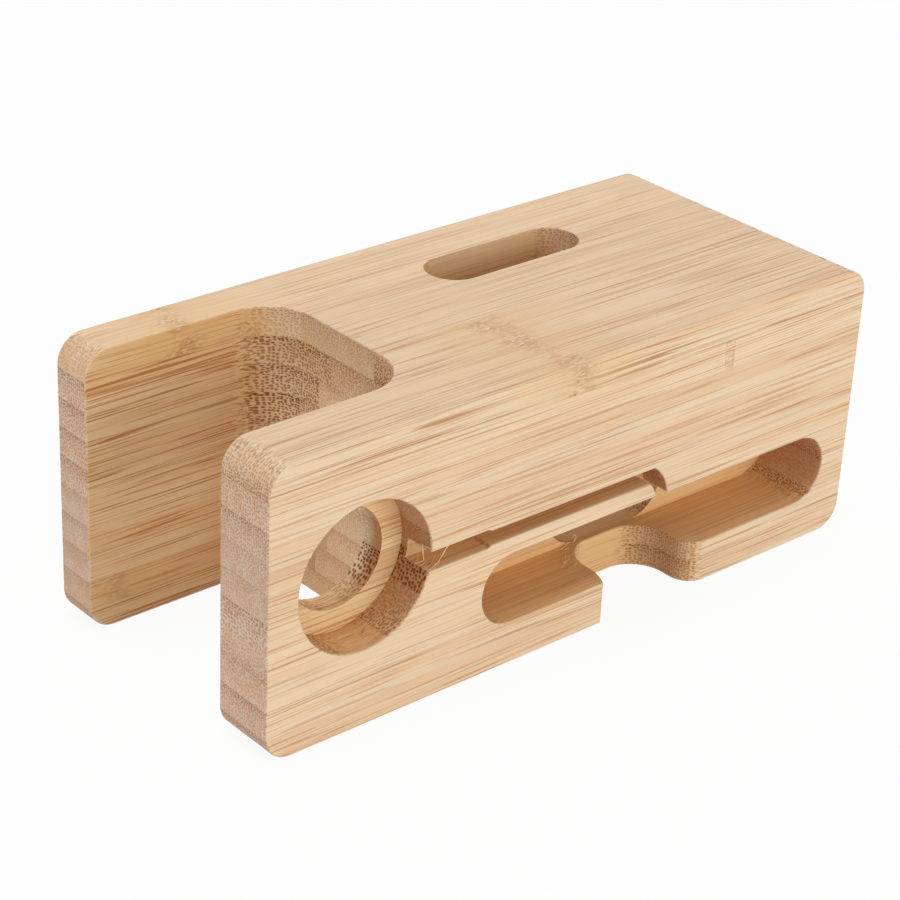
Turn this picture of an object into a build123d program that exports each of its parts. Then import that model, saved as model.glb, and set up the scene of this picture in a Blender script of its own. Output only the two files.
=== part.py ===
from build123d import *
import os

# A desk organizer that holds a phone, a watch charger and its cable.
# It is one block of laminated bamboo with the pockets cut into it, so its pieces are the
# glued strips. The block is made whole, machined, and then taken apart along its glue lines.
# The grain runs along X. The pockets open towards -Y, the cable slot towards +Z.
# The origin is the middle of the bottom face. All sizes are in millimetres.

os.makedirs("parts", exist_ok=True)

# The block and its plies
length = 140.0
depth = 60.5
ply_thickness = 5.6
ply_count = 10
planed_off = 1.0
end_radius = 5.2
ease = 0.15
overrun = 2.0

# The strips that lie side by side in a ply. The middle one takes what the outer two leave,
# and the joints step to and fro from ply to ply.
front_strip = 20.25
back_strip = 20.25
stagger = 4.2
stagger_shares = (1, -0.2, -1)

# The slot for the closed watch band, between the two prongs
front_prong = 12.9
back_prong = 8.5
band_slot_length = 40.8
band_slot_corner = 10.0

# The seat for the watch charger, and the hole to push it out by
seat_radius = 14.05
seat_depth = 8.0
seat_from_end = 20.35
seat_height = 28.95
push_hole_radius = 9.7

# The pocket that the phone stands in
pocket_from_end = 46.55
pocket_end_wall = 6.35
pocket_width = 14.05
pocket_depth = 14.5
pocket_floor = 8.45

# The finger notch in the pocket's wall, a little off the pocket's middle. Its right mouth
# runs smoothly into the front face, its left wall flares out and ends in a corner.
notch_offset = 2.05
notch_width = 20.5
notch_depth = 13.6
notch_corner = 7.0
notch_right_mouth = 4.5
flare_radius = 9.0
flare_width = 1.7
flare_depth = 2.45

# The cable channel from the seat, which bends down round the tip of a thin tongue into the
# pocket. The bend's centre lies below the pocket's top, so channel and bend meet at a kink.
tongue_thickness = 3.2
channel_width = 2.85
channel_depth = 6.3
bend_radius = 8.15
bend_offset = 8.6
bend_drop = 1.7
bend_corner = 0.8
cord_seat_width = 3.7
cord_seat_reach = 14.2

# The cable passage behind the pocket, and the slot that it leaves by
passage_offset = 0.4
passage_length = 28.6
slot_offset = 2.7
slot_from_back = 10.9
slot_length = 35.0
slot_width = 11.0

# Places that follow from the sizes
height = ply_count * ply_thickness - planed_off
left_end = -length / 2
front = -depth / 2
right_end = length / 2
back = depth / 2
front_plane = Plane.XZ.offset(-front)
band_slot_front = front + front_prong
band_slot_back = back - back_prong
band_slot_middle = (band_slot_front + band_slot_back) / 2
seat_x = left_end + seat_from_end
pocket_left = left_end + pocket_from_end
pocket_right = right_end - pocket_end_wall
pocket_x = (pocket_left + pocket_right) / 2
pocket_z = pocket_floor + pocket_width / 2
pocket_top = pocket_floor + pocket_width
notch_left = pocket_x - notch_offset - notch_width / 2
notch_right = notch_left + notch_width
notch_back = front + notch_depth
channel_z = pocket_top + tongue_thickness + channel_width / 2
channel_top = channel_z + channel_width / 2
bend_x = pocket_x - bend_offset
bend_z = pocket_top - bend_drop
bend_reach = bend_radius + channel_width
cord_seat_end = seat_x + seat_radius + cord_seat_reach
passage_x = pocket_x - passage_offset
slot_x = pocket_x - slot_offset
slot_y = back - slot_from_back - slot_width / 2
passage_depth = slot_y + slot_width / 2 - front
flat_start = left_end + end_radius
flat_end = right_end - end_radius
corner_start = left_end + band_slot_length - band_slot_corner

# The machined block
with BuildPart() as block:
    # The blank, with its four long corners rounded
    with BuildSketch(front_plane):
        Rectangle(length, height, align=(Align.CENTER, Align.MIN))
        fillet(vertices(), end_radius)
    extrude(amount=-depth)

    # The band slot, open at the left end and through the full height
    with BuildSketch(Plane.XY.offset(-overrun)):
        with Locations((left_end - band_slot_corner, band_slot_middle)):
            Rectangle(
                band_slot_length + band_slot_corner,
                band_slot_back - band_slot_front,
                align=(Align.MIN, Align.CENTER),
            )
        fillet(vertices().group_by(Axis.X)[-1], band_slot_corner)
    extrude(amount=height + 2 * overrun, mode=Mode.SUBTRACT)

    # The charger seat and its push-out hole
    with BuildSketch(front_plane):
        with Locations((seat_x, seat_height)):
            Circle(seat_radius)
    extrude(amount=-seat_depth, mode=Mode.SUBTRACT)
    with BuildSketch(front_plane):
        with Locations((seat_x, seat_height)):
            Circle(push_hole_radius)
    extrude(amount=-(front_prong + overrun), mode=Mode.SUBTRACT)

    # The phone pocket
    with BuildSketch(front_plane):
        with Locations((pocket_x, pocket_z)):
            SlotOverall(pocket_right - pocket_left, pocket_width)
    extrude(amount=-pocket_depth, mode=Mode.SUBTRACT)

    # The cable channel: the bend is the upper right part of a ring, cut off where the channel
    # and the pocket end it, and the cord's collar gets a wider start beside the seat
    with BuildSketch(front_plane):
        with Locations((bend_x, bend_z)):
            Circle(bend_radius + channel_width / 2)
            Circle(bend_radius - channel_width / 2, mode=Mode.SUBTRACT)
        with Locations((bend_x, pocket_z)):
            Rectangle(
                bend_reach,
                channel_top - pocket_z,
                align=(Align.MIN, Align.MIN),
                mode=Mode.INTERSECT,
            )
        fillet(vertices().group_by(Axis.Y)[-1].sort_by(Axis.X)[-1], bend_corner)
        with BuildLine():
            Line((seat_x, channel_z), (bend_x + bend_radius - tongue_thickness, channel_z))
        trace(line_width=channel_width)
        with Locations(((seat_x + cord_seat_end) / 2, channel_z)):
            SlotOverall(cord_seat_end - seat_x, cord_seat_width)
    extrude(amount=-channel_depth, mode=Mode.SUBTRACT)

    # The finger notch, seen from below
    with BuildSketch(Plane.XY.offset(-overrun)):
        with BuildLine():
            outline = FilletPolyline(
                (notch_left - 2 * flare_width, front - flare_depth),
                (notch_left, front + flare_depth),
                (notch_left, notch_back),
                (notch_right, notch_back),
                (notch_right, front),
                (notch_right + 2 * notch_right_mouth, front),
                radius=(flare_radius, notch_corner, notch_corner, notch_right_mouth),
            )
            Polyline(
                outline @ 1,
                (notch_right + 2 * notch_right_mouth, front - flare_depth),
                outline @ 0,
            )
        make_face()
    extrude(amount=pocket_z + overrun, mode=Mode.SUBTRACT)

    # The cable passage, as high as the pocket, and the slot in the top that meets it
    with BuildSketch(front_plane):
        with Locations((passage_x, pocket_z)):
            SlotOverall(passage_length, pocket_width)
    extrude(amount=-passage_depth, mode=Mode.SUBTRACT)
    with BuildSketch(Plane.XY.offset(height)):
        with Locations((slot_x, slot_y)):
            SlotOverall(slot_length, slot_width)
    extrude(amount=-(height - pocket_z), mode=Mode.SUBTRACT)

    # The edges that hands touch, eased with sandpaper: the outlines of the front and back faces,
    # those of the prongs' inner faces, and the rims of the slots in the top and the bottom. The
    # notch's right mouth runs into the front face without an edge.
    sharp = edges().filter_by_position(Axis.Y, front, front)
    sharp -= sharp.filter_by(Axis.Z).filter_by_position(Axis.X, notch_right, flat_end)
    sharp += edges().filter_by_position(Axis.Y, back, back)
    for inner_face in (band_slot_front, band_slot_back):
        outline = edges().filter_by_position(Axis.Y, inner_face, inner_face)
        sharp += outline.filter_by_position(Axis.X, left_end, corner_start, (True, False))
    for level in (0, height):
        rim = edges().filter_by_position(Axis.Z, level, level)
        rim = rim.filter_by_position(Axis.Y, band_slot_front, band_slot_back, (False, False))
        sharp += rim.filter_by_position(Axis.X, flat_start, flat_end, (False, False))
    chamfer(sharp, ease)

# The block taken apart along its glue lines: plies are numbered from the bottom, and a strip
# that a pocket cuts right through leaves a left and a right piece
for ply in range(ply_count):
    bottom = max(0, ply * ply_thickness - planed_off)
    top = (ply + 1) * ply_thickness - planed_off
    shift = stagger * stagger_shares[ply % len(stagger_shares)]
    joints = (front, front + front_strip + shift, back - back_strip + shift, back)
    for row, near, far in zip(("front", "middle", "back"), joints, joints[1:]):
        with BuildPart() as strip:
            add(block.part)
            with Locations((0, near, bottom)):
                Box(
                    length,
                    far - near,
                    top - bottom,
                    align=(Align.CENTER, Align.MIN, Align.MIN),
                    mode=Mode.INTERSECT,
                )
        solids = strip.part.solids().sort_by(Axis.X)
        for number, solid in enumerate(solids):
            if len(solids) == 1:
                side = ""
            elif number == 0:
                side = "_left"
            elif number == len(solids) - 1:
                side = "_right"
            else:
                side = f"_inner_{number}"
            with BuildPart() as piece:
                add(solid)
            piece.part.label = f"ply_{ply + 1:02d}_{row}{side}"
            export_step(piece.part, f"parts/{piece.part.label}.step")
            print(piece.part.label, round(piece.part.volume, 1))
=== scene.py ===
# %% [markdown]
# # A bamboo organizer for a phone and a watch charger
#
# The real object is one block of laminated bamboo. Ten plies, each of three strips side by side,
# are glued into a blank, and a router cuts the pockets, the cable channel and the finger notch.
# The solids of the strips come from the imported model, at their real size and place.
# This file gives them their finish, adds the fibres that the cutter tore, and lights the scene.

import math
import random
from types import SimpleNamespace

import bpy
from mathutils import Matrix, Vector


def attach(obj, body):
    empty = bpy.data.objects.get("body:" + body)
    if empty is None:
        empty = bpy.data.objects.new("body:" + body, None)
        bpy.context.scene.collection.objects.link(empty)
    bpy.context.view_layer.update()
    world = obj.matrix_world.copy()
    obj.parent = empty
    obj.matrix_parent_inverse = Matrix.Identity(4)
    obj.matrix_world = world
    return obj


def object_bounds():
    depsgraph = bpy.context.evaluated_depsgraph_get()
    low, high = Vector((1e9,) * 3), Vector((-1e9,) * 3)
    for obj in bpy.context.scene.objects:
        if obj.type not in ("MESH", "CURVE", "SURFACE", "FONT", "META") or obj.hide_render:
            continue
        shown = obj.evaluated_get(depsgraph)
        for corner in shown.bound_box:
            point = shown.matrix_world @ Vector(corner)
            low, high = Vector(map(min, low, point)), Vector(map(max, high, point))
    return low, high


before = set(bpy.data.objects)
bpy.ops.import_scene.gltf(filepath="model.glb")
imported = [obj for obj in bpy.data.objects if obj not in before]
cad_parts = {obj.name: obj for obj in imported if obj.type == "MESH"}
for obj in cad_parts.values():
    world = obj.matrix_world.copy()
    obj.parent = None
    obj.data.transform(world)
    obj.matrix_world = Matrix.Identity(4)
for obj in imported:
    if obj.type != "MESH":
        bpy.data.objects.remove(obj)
cad_low, cad_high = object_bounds()
strip_names = sorted(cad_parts)
print(len(strip_names), "strips, from", tuple(cad_low), "to", tuple(cad_high))

MM = 0.001  # the scene is in metres, and a joiner thinks in millimetres

# %% [markdown]
# ## Camera
#
# A product photograph is taken from far away with a long lens, so that the block's edges stay
# nearly parallel. The place and the three angles were worked out from the block's corners.
# A camera looks along its own -Z with +Y up, so its matrix has the right, up and backward
# directions as columns. Writing those columns is clearer than a chain of rotations.

# %% Camera
CAMERA_PLACE = (-0.28119, -0.30792, 0.24129)
CAMERA_HEADING = math.radians(41.825)
CAMERA_DOWNWARD = math.radians(27.478)
CAMERA_ROLL = math.radians(2.849)
CAMERA_LENS = 101.8


def make_camera():
    forward = Vector((
        math.cos(CAMERA_DOWNWARD) * math.sin(CAMERA_HEADING),
        math.cos(CAMERA_DOWNWARD) * math.cos(CAMERA_HEADING),
        -math.sin(CAMERA_DOWNWARD),
    ))
    level = forward.cross(Vector((0, 0, 1))).normalized()
    upright = level.cross(forward)
    right = level * math.cos(CAMERA_ROLL) + upright * math.sin(CAMERA_ROLL)
    up = upright * math.cos(CAMERA_ROLL) - level * math.sin(CAMERA_ROLL)
    data = bpy.data.cameras.new("camera")
    data.lens = CAMERA_LENS
    camera = bpy.data.objects.new("camera", data)
    turned = Matrix((right, up, -forward)).transposed().to_4x4()
    camera.matrix_world = Matrix.Translation(CAMERA_PLACE) @ turned
    bpy.context.scene.collection.objects.link(camera)
    bpy.context.scene.camera = camera
    return camera


camera = make_camera()
print("camera stands", round(camera.location.length, 3), "m from the block")

# %% [markdown]
# ## Writing a node tree as a formula
#
# Procedural wood is a formula of place: from a point in the block it works out a colour.
# Clicking such a tree together takes hundreds of links. A small helper class lets the script
# say the same as short calls, where each call adds one node and gives back its output socket.
# This first part of it knows numbers and vectors, and serves shaders and Geometry Nodes alike.

# %% A helper that adds nodes and links


class Graph:
    def __init__(self, tree):
        self.tree = tree

    def node(self, kind, **settings):
        node = self.tree.nodes.new(kind)
        for name, value in settings.items():
            setattr(node, name, value)
        return node

    def feed(self, socket, value):
        if isinstance(value, bpy.types.NodeSocket):
            self.tree.links.new(value, socket)
        else:
            socket.default_value = value

    def math(self, operation, *values, clamp=False):
        node = self.node("ShaderNodeMath", operation=operation, use_clamp=clamp)
        for socket, value in zip(node.inputs, values):
            self.feed(socket, value)
        return node.outputs["Value"]

    def product(self, first, *others):
        for other in others:
            first = self.math("MULTIPLY", first, other)
        return first

    def rest(self, value):
        """What is left of 1."""
        return self.math("SUBTRACT", 1.0, value)

    def between(self, share, at_none, at_full):
        """From one number straight to another, as the share goes from 0 to 1."""
        return self.math("MULTIPLY_ADD", share, at_full - at_none, at_none)

    def vector(self, operation, *values, scale=None):
        node = self.node("ShaderNodeVectorMath", operation=operation)
        for socket, value in zip(node.inputs, values):
            self.feed(socket, value)
        if scale is not None:
            self.feed(node.inputs["Scale"], scale)
        return node.outputs["Value" if operation == "LENGTH" else "Vector"]

    def split(self, vector):
        node = self.node("ShaderNodeSeparateXYZ")
        self.feed(node.inputs["Vector"], vector)
        return node.outputs["X"], node.outputs["Y"], node.outputs["Z"]

    def join(self, x, y, z):
        node = self.node("ShaderNodeCombineXYZ")
        for socket, value in zip(node.inputs, (x, y, z)):
            self.feed(socket, value)
        return node.outputs["Vector"]


# %% [markdown]
# Colour needs three more moves: a noise, a soft step from 0 to 1, and a mix of two colours.
# A tint multiplies a colour by a factor for each channel, as a stain does to wood, so that what
# was already painted still shows through it.

# %% The helper learns to paint


class ColourGraph(Graph):
    def noise(self, place, detail, roughness=0.5):
        node = self.node("ShaderNodeTexNoise", noise_dimensions="3D")
        self.feed(node.inputs["Vector"], place)
        self.feed(node.inputs["Scale"], 1.0)
        self.feed(node.inputs["Detail"], detail)
        self.feed(node.inputs["Roughness"], roughness)
        return node.outputs["Fac"], node.outputs["Color"]

    def rise(self, value, start, end):
        """0 before start, 1 after end, with a smooth step between them."""
        node = self.node("ShaderNodeMapRange", interpolation_type="SMOOTHSTEP")
        self.feed(node.inputs["Value"], value)
        self.feed(node.inputs["From Min"], start)
        self.feed(node.inputs["From Max"], end)
        return node.outputs["Result"]

    def fall(self, value, start, end):
        """1 before start, 0 after end."""
        return self.rest(self.rise(value, start, end))

    def blend(self, share, first, second, blend_type="MIX"):
        node = self.node("ShaderNodeMix", data_type="RGBA", blend_type=blend_type)
        first_socket, second_socket = [socket for socket in node.inputs if socket.type == "RGBA"]
        self.feed(node.inputs["Factor"], share)
        self.feed(first_socket, first)
        self.feed(second_socket, second)
        return next(socket for socket in node.outputs if socket.type == "RGBA")

    def tint(self, share, colour, factors):
        return self.blend(share, colour, self.blend(1.0, colour, factors, "MULTIPLY"))


def tone(red, green, blue):
    """A colour as it is seen on a screen, from 0 to 255, as the linear value that Blender mixes."""
    def linear(share):
        return share / 12.92 if share <= 0.04045 else ((share + 0.055) / 1.055) ** 2.4
    return tuple(linear(part / 255) for part in (red, green, blue)) + (1.0,)


# %% [markdown]
# ## Bamboo, as a solid
#
# A bamboo strip is a bundle of long dark fibres, the vascular bundles, in pale pith. They run
# along the stalk, here along X. A cut across them shows dots, a cut along them shows streaks,
# and a rounded corner shows dots that stretch into dashes. One formula in three dimensions
# gives all of these, and no picture has to be wrapped round the block.
# Object coordinates are used, because all strips lie in the block's own frame.
# First comes what the formula is told about a strip, with lengths in millimetres.

# %% The block's sizes, and what sets one strip apart from another
PLY_THICKNESS = 5.6
PLANED_OFF = 1.0
END_RADIUS = 5.2

STRIP_INPUTS = {
    "Seed": 0.0,  # where in the noise the strip lies
    "Ply bottom": 0.0,  # how high the ply's lower face was before planing
    "Skin side": 1.0,  # 1 with the stalk's skin up, -1 with it down, and weaker in between
    "Brightness": 1.0,  # a factor on the whole colour
    "Streaks": 1.0,  # the strength of the lines along the grain
    "Bundle spacing": 0.7,  # from one bundle to the next
    "Bundle darkness": 0.6,  # the strength of the bundles
    "Paling": 0.0,  # how much the bundles pale to the right of the prongs, or darken if below 0
    # the floor burn is the cutter's browning, and painted shade on faces that lie in shade
    "Floor burn and shade": 0.5,  # how much the cutter browned what faces the front or the back
    "End burn": 1.0,  # and how much it scorched the walls across the grain
    "End warmth": 0.0,  # how golden the sanded end is
}
KNUCKLE_INPUTS = {
    "Knuckle place": 0.0,  # where the band is along X
    "Knuckle slant": 0.0,  # how far it shifts along X in a millimetre along Y
    "Knuckle strength": 1.0,
    "Scar": 0.0,  # the strength of a small scar at the knuckle
}
print("a strip is told", len(STRIP_INPUTS), "numbers,", len(KNUCKLE_INPUTS), "more for a knuckle")

# %% [markdown]
# Each strip reads the same noise at another place, which its seed gives. A stretch says how many
# waves a noise has in a millimetre along X, Y and Z: few along the grain and many across it.

# %% A graph that knows its strip
SEED_DIRECTION = (1.0, 1.7, 0.6)


class Grain(ColourGraph):
    def __init__(self, tree):
        super().__init__(tree)
        self.given = self.node("NodeGroupInput").outputs
        self.shuffle = self.vector("SCALE", SEED_DIRECTION, scale=self.given["Seed"])
        coordinates = self.node("ShaderNodeTexCoord").outputs
        self.place = self.vector("SCALE", coordinates["Object"], scale=1 / MM)
        self.x, self.y, self.z = self.split(self.place)
        facing = self.vector("ABSOLUTE", coordinates["Normal"])
        self.facing_x, self.facing_y, self.facing_z = self.split(facing)

    def noise_at(self, point, stretch, detail=0.0, roughness=0.5):
        waves = self.vector("MULTIPLY_ADD", point, stretch, self.shuffle)
        return self.noise(waves, detail, roughness)

    def wander(self, stretch, reach):
        turned = self.noise_at(self.place, stretch)[1]
        return self.vector("MULTIPLY", self.vector("SUBTRACT", turned, (0.5, 0.5, 0.5)), reach)


# %% [markdown]
# Fibres wander a little from the straight. That is done by moving the point that a texture is
# asked about, before the texture is asked: once in long bends, and once in short small ones.

# %% How the fibres bend
LONG_BENDS = {"stretch": (0.01, 0.04, 0.04), "reach": (0.0, 1.4, 1.0)}
SHORT_BENDS = {"stretch": (0.05, 0.25, 0.25), "reach": (0.0, 0.15, 0.15)}


def bent_fibres(grain):
    fibre = grain.vector("ADD", grain.place, grain.wander(**LONG_BENDS))
    return grain.vector("ADD", fibre, grain.wander(**SHORT_BENDS))


# %% [markdown]
# Near the stalk's skin the wood is darker and its bundles crowd together. A ply is planed flat,
# so its skin side is its upper or its lower face, and the height within the ply tells how near
# the skin is. The crowding grows more steeply than the shade.

# %% How near the skin is
SHADE_POWER = 2.0
SKIN_POWER = 3.0


def ply_heights(grain):
    level = grain.math("SUBTRACT", grain.z, grain.given["Ply bottom"])
    level = grain.math("DIVIDE", level, PLY_THICKNESS, clamp=True)
    from_middle = grain.math("SUBTRACT", level, 0.5)
    skin = grain.math("MULTIPLY_ADD", from_middle, grain.given["Skin side"], 0.5)
    return SimpleNamespace(
        level=level,
        shade=grain.math("POWER", skin, SHADE_POWER),
        skin=grain.math("POWER", skin, SKIN_POWER),
    )


# %% [markdown]
# A router leaves its walls browner and rougher than the sanded outside, and part of that browning
# is painted shade for the inside of the pockets. The formula tells them apart by how far a point
# lies below the outside: the distance to a box whose long corners are round. It is 0 on the skin
# of the block and negative in a pocket.

# %% How far a point lies below the outside


def below_outside(grain):
    half_x = cad_high.x / MM
    half_y = cad_high.y / MM
    half_z = cad_high.z / MM / 2
    corner_x = grain.math("SUBTRACT", grain.math("ABSOLUTE", grain.x), half_x - END_RADIUS)
    from_middle = grain.math("ABSOLUTE", grain.math("SUBTRACT", grain.z, half_z))
    corner_z = grain.math("SUBTRACT", from_middle, half_z - END_RADIUS)
    reach = grain.vector("MAXIMUM", grain.join(corner_x, 0.0, corner_z), (0.0, 0.0, 0.0))
    within = grain.math("MINIMUM", grain.math("MAXIMUM", corner_x, corner_z), 0.0)
    outline = grain.math("ADD", grain.vector("LENGTH", reach), within)
    outline = grain.math("SUBTRACT", outline, END_RADIUS)
    front_or_back = grain.math("SUBTRACT", grain.math("ABSOLUTE", grain.y), half_y)
    return grain.math("MAXIMUM", outline, front_or_back)


# %% [markdown]
# What a face shows depends on how it was cut. The share of its normal that points along X tells
# end grain from long grain, and the depth tells milled wood from sanded wood. What was milled to
# the right of the charger seat, such as the phone's pocket, came out smoother than the rest.
# Each kind of cut is a number from 0 to 1 with a soft change, so that round corners have no seam.

# %% The kinds of cut
END_GRAIN_FROM = (0.3, 0.95)
SLANTED_FROM = (0.08, 0.55)
SQUARE_FROM = (0.75, 1.0)
MILLED_FROM = (-0.22, -0.5)
SMOOTH_FROM = (-36.0, -33.0)


def kinds_of_cut(grain):
    end_grain = grain.rise(grain.facing_x, *END_GRAIN_FROM)
    below = below_outside(grain)
    milled = grain.rise(below, *MILLED_FROM)
    return SimpleNamespace(
        end_grain=end_grain,
        along=grain.rest(end_grain),
        slanted=grain.rise(grain.facing_x, *SLANTED_FROM),
        square=grain.rise(grain.facing_x, *SQUARE_FROM),
        below=below,
        milled=milled,
        sanded=grain.rest(milled),
        smooth=grain.product(milled, grain.rise(grain.x, *SMOOTH_FROM)),
    )


# %% [markdown]
# Pith is the ground colour: cream with broad warmer streaks. An upper face shows less of that
# contrast than an upright one, because the light falls straight on it.

# %% Pith
PALE_PITH = tone(244, 219, 184)
WARM_PITH = tone(241, 204, 161)
PITH_STRETCH = (0.01, 0.32, 0.32)
PITH_STEP = (0.3, 0.7)
UPRIGHT_CONTRAST = 0.85
LYING_CONTRAST = 0.4
SMOOTH_CUT_CONTRAST = 0.5


def pith_colour(grain, cut, fibre):
    broad = grain.noise_at(fibre, PITH_STRETCH, detail=1.0)[0]
    contrast = grain.between(grain.facing_z, UPRIGHT_CONTRAST, LYING_CONTRAST)
    contrast = grain.product(contrast, grain.between(cut.smooth, 1.0, SMOOTH_CUT_CONTRAST))
    warmth = grain.math("SUBTRACT", grain.rise(broad, *PITH_STEP), 0.5)
    return grain.blend(grain.math("MULTIPLY_ADD", warmth, contrast, 0.5), PALE_PITH, WARM_PITH)


# %% [markdown]
# Two kinds of line run along the grain. Long thin ones are drawn where a noise crosses its middle
# value, because that gives unbroken lines. Hairs are the high parts of a much finer noise. Both
# fade in and out along the strip by one slow noise, and hairs come in clumps.

# %% Lines and hairs along the grain
FIBRE_LINE = tone(198, 138, 88)
FLAT_LINE = tone(200, 150, 112)
FADING_STRETCH = (0.035, 0.9, 0.9)
SMOOTH_CUT_STREAKS = 0.4

LINE_STRETCH = (0.014, 1.4, 1.4)
LINE_WIDTH = (0.01, 0.045)
LINE_FADES = (0.38, 0.6)

HAIR_STRETCH = (0.025, 3.2, 3.2)
HAIR_ROUGHNESS = 0.6
HAIR_STEP = (0.53, 0.61)
CLUMP_FADES = (0.35, 0.6)

# How strongly each shows on sanded and on milled wood
LINE_SHARE = (0.28, 0.18)
LEAST_HAIR = (0.28, 0.64)
CLUMPED_HAIR = (0.4, 0.28)


def streaks_along(grain, cut, fibre):
    return SimpleNamespace(
        strength=grain.product(
            cut.along, grain.given["Streaks"], grain.between(cut.smooth, 1.0, SMOOTH_CUT_STREAKS),
        ),
        fading=grain.noise_at(fibre, FADING_STRETCH)[0],
        fine=grain.noise_at(fibre, HAIR_STRETCH, detail=1.0, roughness=HAIR_ROUGHNESS)[0],
    )


def fibre_lines(grain, colour, cut, fibre, streaks):
    middling = grain.noise_at(fibre, LINE_STRETCH, detail=1.0)[0]
    off_middle = grain.math("ABSOLUTE", grain.math("SUBTRACT", middling, 0.5))
    line = grain.product(
        grain.fall(off_middle, *LINE_WIDTH), grain.rise(streaks.fading, *LINE_FADES),
        streaks.strength, grain.between(cut.milled, *LINE_SHARE),
    )
    clumps = grain.rise(streaks.fading, *CLUMP_FADES)
    clumps = grain.product(clumps, grain.between(cut.milled, *CLUMPED_HAIR))
    clumps = grain.math("ADD", clumps, grain.between(cut.milled, *LEAST_HAIR))
    hair = grain.product(grain.rise(streaks.fine, *HAIR_STEP), streaks.strength, clumps)
    line_colour = grain.blend(grain.facing_z, FIBRE_LINE, FLAT_LINE)
    return grain.blend(hair, grain.blend(line, colour, line_colour), line_colour)


# %% [markdown]
# The bundles come from a Voronoi texture that only reads Y and Z, so that each cell is a column
# along X. They crowd together towards the stalk's skin. The radius is a share of the spacing,
# and each cell has its own.

# %% Where the bundles are
BUNDLE_SHARE = 0.34
BUNDLE_RADII = (0.75 * BUNDLE_SHARE, 1.25 * BUNDLE_SHARE)
BUNDLE_DISORDER = 0.65
BUNDLE_CROWDING = 1.5
BUNDLE_CORE = 0.6
BUNDLE_RIM = 1.4


def bundle_spots(grain, fibre, ply):
    _, fibre_y, fibre_z = grain.split(fibre)
    spacing = grain.given["Bundle spacing"]
    crowding = grain.product(ply.skin, BUNDLE_CROWDING, grain.given["Skin side"])
    cell = grain.join(
        grain.math("DIVIDE", fibre_y, spacing),
        grain.math("ADD", grain.math("DIVIDE", fibre_z, spacing), crowding),
        0.0,
    )
    cells = grain.node("ShaderNodeTexVoronoi", voronoi_dimensions="2D", feature="F1")
    grain.feed(cells.inputs["Vector"], grain.vector("ADD", cell, grain.shuffle))
    grain.feed(cells.inputs["Scale"], 1.0)
    grain.feed(cells.inputs["Randomness"], BUNDLE_DISORDER)
    own = grain.split(cells.outputs["Color"])[0]
    radius = grain.between(own, *BUNDLE_RADII)
    core = grain.math("MULTIPLY", radius, BUNDLE_CORE)
    rim = grain.math("MULTIPLY", radius, BUNDLE_RIM)
    return grain.fall(cells.outputs["Distance"], core, rim)


# %% [markdown]
# A bundle cut along its length is a faint brown streak. One that is cut across is a brown dot,
# darker near the skin, and paler in wood from another part of the stalk. The dot is a tint and
# not a paint, so it keeps some of the colour round it. Very dark dots get the tint twice.

# %% The colour of the bundles
LONG_BUNDLE = tone(190, 134, 84)
CUT_BUNDLE_TINT = (0.46, 0.28, 0.16, 1.0)
DARK_BY_SKIN = (0.65, 1.25)
PALES_FROM = (-34.0, -18.0)
LONG_BUNDLE_FADES = (0.42, 0.62)
LONG_BUNDLE_SHARE = 0.14

# The darkest that a dot gets, and its strength, on sanded and on milled wood
MOST_DARKNESS = (0.82, 1.82)
DOT_STRENGTH = (0.9, 1.15)


def bundle_colour(grain, colour, cut, ply, spot, streaks):
    paling = grain.rest(grain.product(grain.rise(grain.x, *PALES_FROM), grain.given["Paling"]))
    most = grain.between(cut.milled, *MOST_DARKNESS)
    darkness = grain.math("MINIMUM", grain.given["Bundle darkness"], most)
    bundle = grain.product(spot, grain.between(ply.skin, *DARK_BY_SKIN), darkness, paling)
    fading = grain.rise(streaks.fading, *LONG_BUNDLE_FADES)
    streak = grain.product(bundle, streaks.strength, fading, LONG_BUNDLE_SHARE)
    colour = grain.blend(streak, colour, LONG_BUNDLE)
    dot = grain.product(bundle, cut.slanted, grain.between(cut.milled, *DOT_STRENGTH))
    colour = grain.tint(dot, colour, CUT_BUNDLE_TINT)
    return grain.tint(grain.math("SUBTRACT", dot, 1.0), colour, CUT_BUNDLE_TINT)


# %% [markdown]
# A knuckle is where the stalk had a joint. On a planed strip it is a faint band across the
# grain: the fibres swirl, the wood is mottled, and a few dark specks lie in a row. Only the
# strips that show one get these extra nodes, because each noise costs time in every pixel.

# %% Where the knuckle is
RIPPLE_STRETCH = (0.1, 0.3, 0.3)
RIPPLE_REACH = 5.0
KNUCKLE_WIDTH = (0.5, 6.0)
PATCH_STRETCH = (0.15, 0.22, 0.22)
PATCH_STEP = (0.22, 0.55)
SWIRL = {"stretch": (0.3, 0.4, 0.4), "reach": (0.0, 1.1, 1.1)}


def knuckle_band(grain):
    across = grain.math("SUBTRACT", grain.x, grain.given["Knuckle place"])
    across = grain.math("SUBTRACT", across, grain.product(grain.y, grain.given["Knuckle slant"]))
    ripple = grain.math("SUBTRACT", grain.noise_at(grain.place, RIPPLE_STRETCH)[0], 0.5)
    beside = grain.math("ABSOLUTE", grain.math("MULTIPLY_ADD", ripple, RIPPLE_REACH, across))
    patch = grain.rise(grain.noise_at(grain.place, PATCH_STRETCH)[0], *PATCH_STEP)
    near = grain.product(grain.fall(beside, *KNUCKLE_WIDTH), patch, grain.given["Knuckle strength"])
    return SimpleNamespace(straight=grain.math("ABSOLUTE", across), beside=beside, near=near)


def swirled(grain, fibre, knuckle):
    swirl = grain.vector("SCALE", grain.wander(**SWIRL), scale=knuckle.near)
    return grain.vector("ADD", fibre, swirl)


# %% [markdown]
# The knuckle's colour is laid on in thin coats: a golden halo, a tan ground, tan and pale mottles
# from one noise, and the specks. One strip also has a small scar, two short lines across the
# grain with mottled wood between them, so its width is measured without the knuckle's ripple.

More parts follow.
